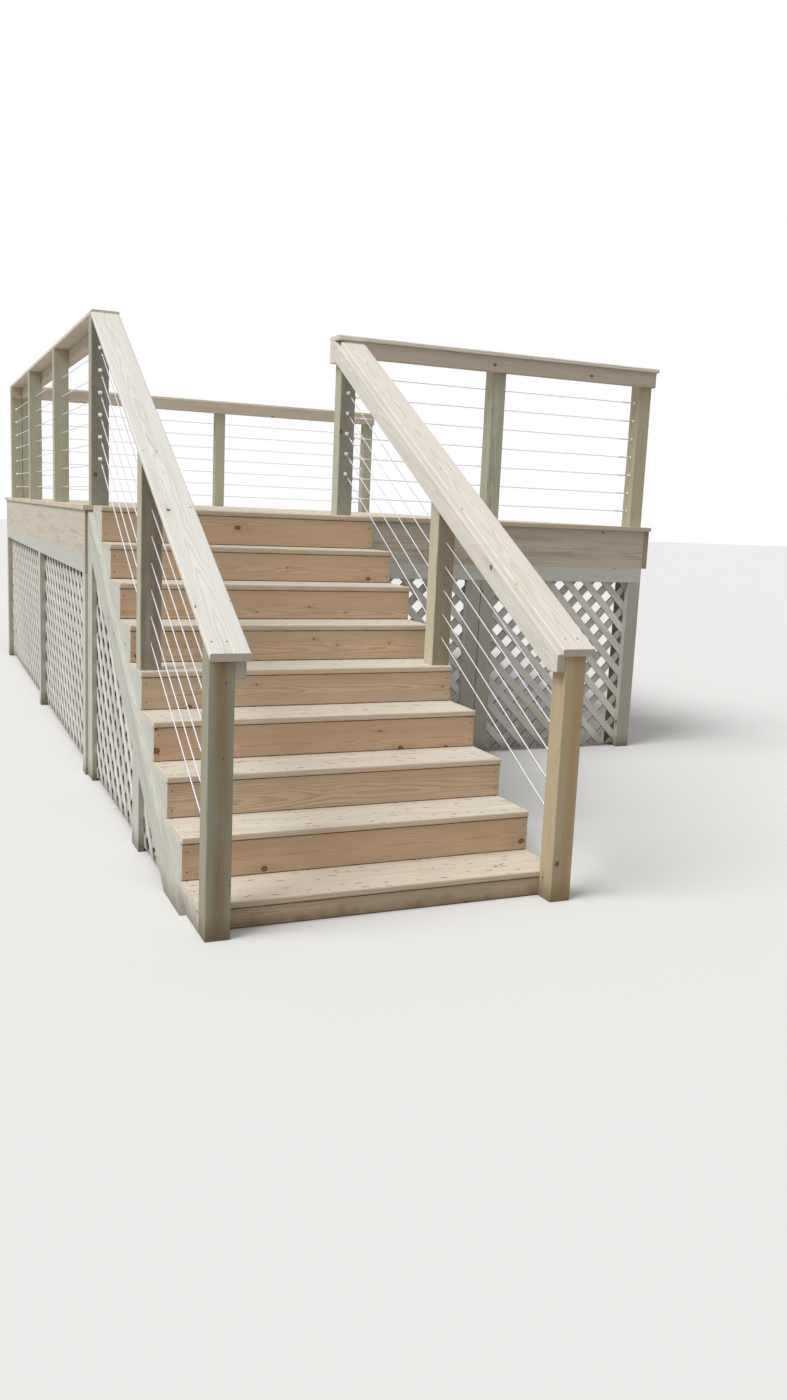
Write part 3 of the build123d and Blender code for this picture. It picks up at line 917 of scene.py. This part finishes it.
@dataclass
class TurnedParts:
    """Small metal parts turned on a lathe, gathered into one mesh. Lengths are millimetres."""

    sides: int
    mesh: bmesh.types.BMesh = field(default_factory=bmesh.new)

    def turn(self, outline: list[tuple[float, float]], start: Vector, way: Vector) -> None:
        """Add a turned part.

        Args:
            outline: Radius and distance of each edge.
            start: Where distance is zero, in metres.
            way: Direction of its axis.
        """
        turned = way.to_track_quat("Z", "Y")
        rings = []
        for radius, away in outline:
            ring = []
            for side in range(self.sides):
                angle = math.tau * side / self.sides
                offset = Vector((math.cos(angle) * radius, math.sin(angle) * radius, away)) * MM
                ring.append(self.mesh.verts.new(start + turned @ offset))
            rings.append(ring + ring[:1])
        skin(self.mesh, rings)

    def finish(self, name: str, metal: Finish) -> bpy.types.Object:
        """Close the parts and make them one piece.

        Args:
            name: Name of the piece.
            metal: Its finish.

        Returns:
            The new object.
        """
        bmesh.ops.remove_doubles(self.mesh, verts=self.mesh.verts[:], dist=0.01 * MM)
        bmesh.ops.recalc_face_normals(self.mesh, faces=self.mesh.faces[:])
        return finish_piece(name, self.mesh, metal)


@dataclass
class CableFittings:
    """Washer, eye, stud and swaged sleeve at the ends of one node's cables. Lengths are millimetres."""

    node: str
    ends: tuple[int, ...] = (0, -1)
    washer_radius: float = 11.0
    eye_radius: float = 8.0
    eye_wire: float = 2.6
    eye_sides: int = 8
    eye_out: float = 14.0
    stud_radius: float = 3.2
    stud_start: float = 16.0
    stud_end: float = 48.0
    sleeve_radius: float = 4.6
    sleeve_end: float = 92.0
    groove: float = 0.9
    sides: int = 16

    def washer(self) -> list[tuple[float, float]]:
        """Outline of the washer and the nut on it, as radius and distance from the post.

        Returns:
            The edges' radii and distances.
        """
        return [(0.0, 0.0), (self.washer_radius, 0.0), (self.washer_radius, 1.6),
                (self.washer_radius - 1.2, 2.4), (5.2, 2.4), (5.0, 7.0), (3.2, 8.0), (0.0, 8.0)]

    def stud(self) -> list[tuple[float, float]]:
        """Outline of the stud and its sleeve with two swaged grooves.

        Returns:
            The edges' radii and distances from the post.
        """
        edges = [(0.0, self.stud_start), (self.stud_radius, self.stud_start),
                 (self.stud_radius, self.stud_end), (self.sleeve_radius, self.stud_end + 1.5)]
        for place in (12, 28):
            edges += [(self.sleeve_radius, self.stud_end + place),
                      (self.sleeve_radius - self.groove, self.stud_end + place + 2),
                      (self.sleeve_radius, self.stud_end + place + 4)]
        return edges + [(self.sleeve_radius, self.sleeve_end - 2),
                        (self.sleeve_radius - 1.6, self.sleeve_end), (0.0, self.sleeve_end)]

    def eye(self, mesh: bmesh.types.BMesh, centre: Vector, out: Vector) -> None:
        """Add the eye that a stud hooks into.

        Args:
            mesh: Mesh that it joins.
            centre: Middle of the eye.
            out: Direction out of the post.
        """
        flat = out.cross(UP).normalized()
        up = flat.cross(out)
        rings = []
        for turn in range(self.sides):
            angle = math.tau * turn / self.sides
            spoke = out * math.cos(angle) + up * math.sin(angle)
            ring = []
            for side in range(self.eye_sides):
                around = math.tau * side / self.eye_sides
                offset = spoke * math.cos(around) + flat * math.sin(around)
                ring.append(mesh.verts.new(centre + spoke * self.eye_radius * MM
                                           + offset * self.eye_wire * MM))
            rings.append(ring + ring[:1])
        skin(mesh, rings + rings[:1])

    def build(self) -> bpy.types.Object:
        """Make the fittings at each end of each cable.

        Returns:
            The new piece.
        """
        parts = TurnedParts(self.sides)
        for line in Cables(self.node).paths():
            for end in self.ends:
                start, towards = line[end], line[1 if end == 0 else -2]
                way = (towards - start).normalized()
                out = Vector((way.x, way.y, 0)).normalized()
                parts.turn(self.washer(), start, out)
                self.eye(parts.mesh, start + out * self.eye_out * MM, out)
                parts.turn(self.stud(), start, way)
        return parts.finish(f"{self.node}_fittings", FITTING)


@dataclass
class Screws:
    """Screw heads set flush in the boards of one node. Lengths are millimetres."""

    node: str
    places: list[Vector]
    driven: Vector = field(default_factory=lambda: -UP)
    head_radius: float = 3.8
    head_edge: float = 0.5
    proud: float = 0.35
    recess_share: float = 0.4
    recess_floor: float = 0.05
    squarely: float = 0.6
    sides: int = 10

    def build(self) -> bpy.types.Object:
        """Set a head where each place's line meets the boards squarely enough.

        Returns:
            The new piece.
        """
        parts = TurnedParts(self.sides)
        boards = frame_mesh(self.node)
        tree = BVHTree.FromBMesh(boards)
        recess = self.head_radius * self.recess_share
        outline = [(self.head_radius, -self.head_edge), (self.head_radius, self.proud * 0.6),
                   (self.head_radius - self.head_edge, self.proud), (recess, self.proud),
                   (recess * 0.7, self.recess_floor), (0.0, self.recess_floor)]
        for place in self.places:
            hit, normal, _, _ = tree.ray_cast(place, self.driven)
            if hit and abs(normal.dot(self.driven)) > self.squarely:
                parts.turn(outline, hit, normal)
        boards.free()
        return parts.finish(f"{self.node}_screws", SCREW)


@dataclass
class LathPanel:
    """A lattice of one CAD node, as two layers of separate laths.

    The outline is a rectangle, or under the flight a triangle with a cut toe. Lengths are millimetres.
    The outer laths are thin and bright; the inner ones are thicker and darkened as painted shade, and
    all edges carry painted shade.
    """

    node: str
    across: Vector
    outward: Vector
    outer_lean: float
    under_flight: bool = False
    lath_width: float = 44.0
    layer_thickness: tuple[float, float] = (6.0, 9.0)
    # Tone taken off each layer: painted shade on the inner one
    layer_painted_shade: tuple[float, float] = (0.0, 0.7)
    # Share of painted shade on the edges of each layer, for the dark openings
    edge_shade: tuple[float, float] = (0.55, 1.0)
    tone: tuple[float, float] = (0.5, 0.9)
    pith_in: tuple[float, float] = (20.0, 60.0)
    log_across: float = 500.0
    edge_round: float = 0.8
    pitch: float = 140.0

    def outline(self, verts: Ring) -> list[Vector]:
        """Outline of one panel in its own plane, as distances across and up.

        Args:
            verts: Vertices of the panel's solid.

        Returns:
            Corners in order.
        """
        left, right = span(verts, self.across)
        bottom, top = span(verts, UP)
        left_top = top - (right - left) * flight_pitch() if self.under_flight else top
        return [Vector((left, bottom)), Vector((right, bottom)), Vector((right, top)),
                Vector((left, left_top))]

    def clip(self, strip: list[Vector], outline: list[Vector]) -> list[Vector]:
        """Trim a lath to the panel.

        Args:
            strip: Corners of the lath.
            outline: Corners of the panel, anticlockwise.

        Returns:
            Corners of what is left.
        """
        for first, second in zip(outline, outline[1:] + outline[:1]):
            edge = second - first
            kept = []
            for here, there in zip(strip, strip[1:] + strip[:1]):
                inside_here = edge.cross(here - first)
                inside_there = edge.cross(there - first)
                if inside_here >= 0:
                    kept.append(here)
                if inside_here * inside_there < 0:
                    kept.append(here.lerp(there, inside_here / (inside_here - inside_there)))
            strip = kept
        return strip

    def laths(self, outline: list[Vector], lean: float) -> list[list[Vector]]:
        """Corners of each lath of one layer.

        Args:
            outline: Corners of the panel.
            lean: Angle of the laths from level, in degrees.

        Returns:
            The trimmed laths.
        """
        across = [corner.x for corner in outline]
        up = [corner.y for corner in outline]
        middle = Vector(((min(across) + max(across)) / 2, (min(up) + max(up)) / 2))
        reach = max(across) - min(across) + max(up) - min(up)
        count = int(reach / (self.pitch * MM)) + 1
        way = Vector((math.cos(math.radians(lean)), math.sin(math.radians(lean))))
        side = Vector((-way.y, way.x)) * self.lath_width * MM / 2
        trimmed = []
        for number in range(count):
            centre = middle + Vector(((number - (count - 1) / 2) * self.pitch * MM, 0))
            strip = [centre - way * reach / 2 - side, centre + way * reach / 2 - side,
                     centre + way * reach / 2 + side, centre - way * reach / 2 + side]
            left = self.clip(strip, outline)
            if len(left) > 2 and max((a - b).length for a in left for b in left) > self.lath_width * MM:
                trimmed.append(left)
        return trimmed

    def lay(self, mesh: bmesh.types.BMesh, corners: list[Vector], layer: int, outer: float, lean: float,
            chance: random.Random) -> None:
        """Lay one lath.

        Args:
            mesh: Mesh that it joins, which has the layers that build makes.
            corners: Its corners in the panel's plane.
            layer: Zero for the outer layer and one for the inner.
            outer: Place of the panel's outer face along its outward direction, in metres.
            lean: Angle of the lath from level, in degrees.
            chance: Random numbers of the lath.
        """
        vectors, edge_shade = mesh.verts.layers.float_vector, mesh.faces.layers.float["end_grain_and_shade"]
        way = self.across * math.cos(math.radians(lean)) + UP * math.sin(math.radians(lean))
        side = self.outward.cross(way)
        face_out = outer - layer * self.layer_thickness[0] * MM
        # The inner layer is darkened as painted shade
        looks = Vector((chance.uniform(*self.tone) - self.layer_painted_shade[layer], chance.random(),
                        chance.random()))
        start, pith = chance.uniform(*LOG_PLACE), chance.uniform(*self.pith_in) * MM
        log_across = self.log_across * MM
        rings = []
        for depth in (face_out, face_out - self.layer_thickness[layer] * MM):
            ring = []
            for corner in corners:
                place = self.across * corner.x + UP * corner.y + self.outward * depth
                vertex = mesh.verts.new(place)
                grain = Vector((place.dot(way) + start, place.dot(side) % log_across - log_across / 2,
                                place.dot(self.outward) - depth + pith))
                vertex[vectors["grain"]] = vertex[vectors["face_grain"]] = grain
                vertex[vectors["board"]] = looks
                ring.append(vertex)
            rings.append(ring)
        mesh.faces.new(rings[0])
        mesh.faces.new(list(reversed(rings[1])))
        count = len(corners)
        for here in range(count):
            there = (here + 1) % count
            face = mesh.faces.new((rings[0][here], rings[1][here], rings[1][there], rings[0][there]))
            # Each edge takes painted shade of the openings
            face[edge_shade] = self.edge_shade[layer]

    def build(self) -> bpy.types.Object:
        """Lay both layers of every panel of the node.

        Returns:
            The piece that replaces the node.
        """
        source = frame_mesh(self.node)
        whole = bmesh.new()
        for name in ("grain", "face_grain", "board"):
            whole.verts.layers.float_vector.new(name)
        whole.faces.layers.float.new("end_grain_and_shade")
        for panel, verts in enumerate(islands(source)):
            outline = self.outline(verts)
            outer = max(span(verts, self.outward))
            for layer, lean in enumerate((self.outer_lean, -self.outer_lean)):
                for number, corners in enumerate(self.laths(outline, lean)):
                    chance = random.Random(f"{self.node}-{panel}-{layer}-{number}")
                    self.lay(whole, corners, layer, outer, lean, chance)
        bmesh.ops.recalc_face_normals(whole, faces=whole.faces[:])
        sharp = [edge for edge in whole.edges if edge.calc_face_angle(0) > SHARP]
        bmesh.ops.bevel(whole, geom=sharp, offset=self.edge_round * MM, segments=1, affect="EDGES",
                        clamp_overlap=True)
        source.free()
        return finish_piece(f"{self.node}_laths", whole, LATH_WOOD, [self.node])


@dataclass
class Flight:
    """Treads, risers and stringers of the stairs. Lengths are millimetres."""

    # Tones fall towards the landing: painted light on the lower treads and painted shade on the upper
    # ones
    treads: Chosen = (
        Looks(0.75, 0.5, 0.75), Looks(0.8, 0.4, 0.6), Looks(0.72, 0.35, 0.65), Looks(0.77, 0.35, 0.45),
        Looks(0.78, 0.0, 0.35), Looks(0.6, 0.15, 0.25), Looks(0.55, 0.3, 0.2), Looks(0.5, 0.4, 0.2))
    risers: Chosen = (
        Looks(0.5, 0.05, 0.9), Looks(0.5, 0.85, 0.5), Looks(0.57, 0.4, 0.7), Looks(0.5, 0.9, 0.3),
        Looks(0.6, 0.2, 0.5), Looks(0.68, 0.5, 0.8), Looks(0.6, 0.65, 0.4), Looks(0.6, 0.6, 0.4),
        Looks(0.5, 0.65, 0.3))
    riser_round: float = 2.8
    tread_screw_inset: float = 28.0
    riser_screw_rise: float = 38.0

    def build(self) -> None:
        """Dress the flight from the ground up."""
        carriers = middles("stringer_left", "inner_stringers", "stringer_right")
        stringers = [middle.x for middle in carriers]
        inset = self.tread_screw_inset * MM
        for step, looks in enumerate(self.treads, 1):
            node = f"tread_{step}"
            Timber(node, Grain.ACROSS_FLIGHT, TREAD_WOOD, chosen=(looks,), sawn=ENDS_AND_FRONT_SHADE).build()
            low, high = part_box(node)
            rows = (low.y + inset, (low.y + high.y) / 2, high.y - inset)
            Screws(node, [Vector((x, y, high.z + BESIDE)) for x in stringers for y in rows]).build()
        Timber("landing_tread", Grain.ACROSS_FLIGHT, TREAD_WOOD, sawn=ENDS_AND_FRONT_SHADE).build()
        Timber("risers", Grain.ACROSS_FLIGHT, RISER_WOOD, self.riser_round, chosen=self.risers).build()
        rise = self.riser_screw_rise * MM
        Screws("risers", [Vector((x, board.y - BESIDE, board.z + up)) for board in middles("risers")
                          for x in (stringers[0], stringers[-1]) for up in (-rise, rise)],
               driven=INWARD).build()
        for node in ("stringer_left", "stringer_right", "inner_stringers"):
            Timber(node, Grain.WITH_PITCH, SKIRT_WOOD, slope=flight_pitch()).build()


@dataclass
class StairRails:
    """Posts, sloping planks, sloping caps and cables at both sides of the flight.

    Attributes:
        sides: Each side, and the looks of its cap.
        posts: Node, wood, hearts and looks of each pair of posts, the left one first.
        plank: Looks of the planks.
        plank_round: Rounding of the planks' edges, in millimetres.
        screw_aside: Distance of a cap's screws from a post's middle, in millimetres.
    """

    sides: tuple[tuple[str, Looks], ...] = (
        ("left", Looks(0.55, 0.0, 0.4)), ("right", Looks(0.55, 0.8, 0.3)))
    posts: tuple[tuple[str, SawnPine, tuple[Shares, ...], Chosen], ...] = (
        ("newel_posts", NEWEL_WOOD, ((0.05, -0.46, 0), (0.2, -0.56, 0)),
         (Looks(0.45, 0.1, 0.6), Looks(0.58, 0.8, 0.6))),
        ("mid_stair_posts", HEART_POST_WOOD, ((0, -0.56, 0),),
         (Looks(0.33, 0.1, 0.4), Looks(0.42, 0.6, 0.2))),
        # The left landing post's low tone is painted shade from the cap and plank above its front
        ("landing_posts", LANDING_POST_WOOD, ((0, -0.56, 0),),
         (Looks(0.3, 0.1, 0.3), Looks(0.7, 0.2, 0.2))))
    plank: Looks = Looks(0.62, 0.1, 0.2)
    plank_round: float = 4.0
    screw_aside: float = 26.0

    def build(self) -> None:
        """Dress both rails."""
        for node, wood, hearts, chosen in self.posts:
            Timber(node, Grain.PLUMB, wood, chosen=chosen, hearts=hearts).build()
        aside = self.screw_aside * MM
        for side, looks in self.sides:
            Timber(f"stair_rail_{side}", Grain.WITH_PITCH, RAIL_WOOD, self.plank_round, cap_pitch(),
                   chosen=(self.plank,)).build()
            Timber(f"stair_cap_{side}", Grain.WITH_PITCH, CAP_WOOD, slope=cap_pitch(),
                   chosen=(looks,)).build()
            posts = [post for node, *_ in self.posts for post in middles(node)
                     if (post.x < 0) == (side == "left")]
            Screws(f"stair_cap_{side}", [Vector((post.x + out, post.y, ABOVE)) for post in posts
                                         for out in (-aside, aside)]).build()
            Cables(f"stair_cables_{side}").build()
            CableFittings(f"stair_cables_{side}").build()


@dataclass
class DeckGuards:
    """Posts, planks, caps and cables round the deck. Lengths are millimetres."""

    posts: tuple[tuple[str, Chosen], ...] = (
        ("side_posts", (Looks(0.45, 0.3, 0.3), Looks(0.45, 0.1, 0.3), Looks(0.5, 0.2, 0.3))),
        ("front_guard_posts", (Looks(0.7, 0.2, 0.3), Looks(0.55, 0.9, 0.4))),
        ("back_guard_posts", (Looks(0.5, 0.4, 0.3), Looks(0.5, 0.3, 0.3))))
    runs: tuple[tuple[str, Grain], ...] = (
        ("side", Grain.UP_FLIGHT), ("back", Grain.ACROSS_FLIGHT), ("front", Grain.ACROSS_FLIGHT))
    plank: Looks = Looks(0.4, 0.85, 0.5)
    cap_sawn: tuple[float, float] = (0.3, 0.0)
    screw_aside: float = 22.0
    screw_proud: float = 0.06

    def build(self) -> None:
        """Dress the guards."""
        for node, chosen in self.posts:
            Timber(node, Grain.PLUMB, GUARD_POST_WOOD, chosen=chosen).build()
        aside = self.screw_aside * MM
        tops = [Vector((post.x + out, post.y - out, ABOVE)) for node, _ in self.posts
                for post in middles(node) for out in (-aside, aside)]
        for run, grain in self.runs:
            Timber(f"{run}_rail", grain, RAIL_WOOD, chosen=(self.plank,)).build()
            Timber(f"{run}_cap", grain, CAP_WOOD, sawn=self.cap_sawn).build()
            low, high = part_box(f"{run}_cap")
            Screws(f"{run}_cap", [top for top in tops if low.x < top.x < high.x
                                  and low.y < top.y < high.y], proud=self.screw_proud).build()
            Cables(f"{run}_cables").build()
            CableFittings(f"{run}_cables").build()


@dataclass
class DeckFrame:
    """Deck boards, rims, joists and supports. Lengths are millimetres."""

    timbers: tuple[tuple[str, Grain, SawnPine], ...] = (
        ("front_rim", Grain.ACROSS_FLIGHT, FRAME_WOOD), ("back_rim", Grain.ACROSS_FLIGHT, FRAME_WOOD),
        ("side_rims", Grain.UP_FLIGHT, FRAME_WOOD), ("joists", Grain.UP_FLIGHT, FRAME_WOOD),
        ("support_posts", Grain.PLUMB, GUARD_POST_WOOD))
    screw_aside: float = 45.0

    def build(self) -> None:
        """Dress the deck."""
        Timber("deck_boards", Grain.ACROSS_FLIGHT, TREAD_WOOD, sawn=ENDS_AND_FRONT_SHADE).build()
        for node, grain, wood in self.timbers:
            Timber(node, grain, wood).build()
        aside = self.screw_aside * MM
        Screws("deck_boards", [Vector((joist.x, board.y + out, ABOVE)) for joist in middles("joists")
                               for board in middles("deck_boards") for out in (-aside, aside)]).build()


@dataclass
class Skirts:
    """Skirt boards and the lattices between them. Angles are degrees."""

    timbers: tuple[tuple[str, Grain], ...] = (
        ("side_skirt_rail", Grain.UP_FLIGHT), ("side_skirt_uprights", Grain.PLUMB),
        ("front_skirt_rail", Grain.ACROSS_FLIGHT), ("front_skirt_uprights", Grain.PLUMB),
        ("stair_skirt_boards", Grain.WITH_PITCH), ("stair_skirt_uprights", Grain.PLUMB))
    # Uprights' ends get sawn colour, and their faces to the front get the end colour as painted shade
    upright_ends_and_front_shade: tuple[float, float] = (1.0, 0.6)
    lean: float = 45.0

    def build(self) -> None:
        """Dress the skirt boards and lay the laths."""
        for node, grain in self.timbers:
            sawn = self.upright_ends_and_front_shade if grain is Grain.PLUMB else (1.0, 0.0)
            Timber(node, grain, SKIRT_WOOD, slope=flight_pitch(), sawn=sawn).build()
        for node in ("side_lattice_near", "side_lattice_far"):
            LathPanel(node, INWARD, -RIGHT, self.lean).build()
        LathPanel("stair_lattice_left", INWARD, -RIGHT, self.lean, under_flight=True).build()
        LathPanel("stair_lattice_right", INWARD, RIGHT, -self.lean, under_flight=True).build()
        LathPanel("front_lattice", RIGHT, -INWARD, -self.lean).build()


@dataclass
class Studio:
    """Pale floor, soft light and the camera. Lengths are metres and angles are degrees."""

    camera_place: tuple[float, float, float] = (-1.601476, -3.574591, 1.460305)
    camera_angles: tuple[float, float, float] = (80.47437696, -2.48143518, -23.43825145)
    lens: float = 28.68884
    sensor: float = 36.0
    shift: tuple[float, float] = (-0.00057, -0.00288)
    sight: float = 200.0
    floor_reach: float = 60.0
    floor_depth: float = 0.0005
    floor_seen: str = "#F4F3F1"
    floor_lit: str = "#A39C92"
    sky: float = 0.42
    sun: float = 2.1
    sun_softness: float = 35.0
    sun_from: tuple[float, float, float] = (-0.62, -0.12, 0.78)

    def place_camera(self) -> None:
        """Put the camera at the photograph's angle."""
        data = bpy.data.cameras.new("studio_camera")
        data.sensor_width = self.sensor
        data.lens = self.lens
        data.shift_x, data.shift_y = self.shift
        data.clip_end = self.sight
        camera = bpy.data.objects.new("studio_camera", data)
        camera.location = self.camera_place
        camera.rotation_euler = Euler([math.radians(angle) for angle in self.camera_angles])
        bpy.context.scene.collection.objects.link(camera)
        bpy.context.scene.camera = camera

    def lay_floor(self) -> None:
        """Lay a floor of matt paint. The camera sees it pale, and the object gets less light back."""
        material, recipe = new_recipe("matt_painted_floor")
        seen = recipe.seen_by("Is Camera Ray", "Is Glossy Ray")
        colour = recipe.add("Mix", {"Factor": seen, "A": linear(self.floor_lit),
                                    "B": linear(self.floor_seen)}, data_type="RGBA").outputs["Result"]
        shader = recipe.add("BsdfPrincipled", {"Base Color": colour, "Roughness": 0.9,
                                               "Specular IOR Level": 0.1})
        recipe.add("OutputMaterial", (shader,))
        mesh = bmesh.new()
        bmesh.ops.create_grid(mesh, x_segments=1, y_segments=1, size=self.floor_reach,
                              matrix=Matrix.Translation((0, 0, -self.floor_depth)))
        data = bpy.data.meshes.new("floor")
        mesh.to_mesh(data)
        mesh.free()
        data.materials.append(material)
        floor = bpy.data.objects.new("floor", data)
        bpy.context.scene.collection.objects.link(floor)
        floor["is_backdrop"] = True

    def light(self) -> None:
        """Light the object with a soft sky and one broad lamp from the left."""
        world = bpy.data.worlds.new("soft_sky")
        bpy.context.scene.world = world
        world.use_nodes = True
        world.node_tree.nodes.clear()
        recipe = Recipe(world.node_tree)
        seen = recipe.seen_by("Is Camera Ray", "Is Transmission Ray", "Is Glossy Ray")
        strength = recipe.add("MapRange", (seen, 0, 1, self.sky, 1))
        background = recipe.add("Background", {"Color": (1, 1, 1, 1), "Strength": strength})
        recipe.add("OutputWorld", (background,))
        lamp = bpy.data.lights.new("broad_lamp", "SUN")
        lamp.energy = self.sun
        lamp.angle = math.radians(self.sun_softness)
        lamp_object = bpy.data.objects.new("broad_lamp", lamp)
        lamp_object.rotation_euler = Vector(self.sun_from).to_track_quat("Z", "Y").to_euler()
        bpy.context.scene.collection.objects.link(lamp_object)

    def build(self) -> None:
        """Set up the studio."""
        bpy.context.scene.view_settings.view_transform = "Standard"
        self.lay_floor()
        self.light()
        self.place_camera()


def write_sizes() -> None:
    """Work out the box of the CAD model and of the dressed one, as plain lists."""
    boxes = {"frame": loaded_bounds, "dressed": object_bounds()}
    plain = {name: [list(corner) for corner in box] for name, box in boxes.items()}


def main() -> None:
    """Build every piece, then the studio."""
    logging.basicConfig(level=logging.INFO, format="%(message)s")
    for assembly in (Flight(), StairRails(), DeckGuards(), DeckFrame(), Skirts(), Studio()):
        log.info("building %s", type(assembly).__name__)
        assembly.build()
    write_sizes()


if __name__ == "__main__":
    main()
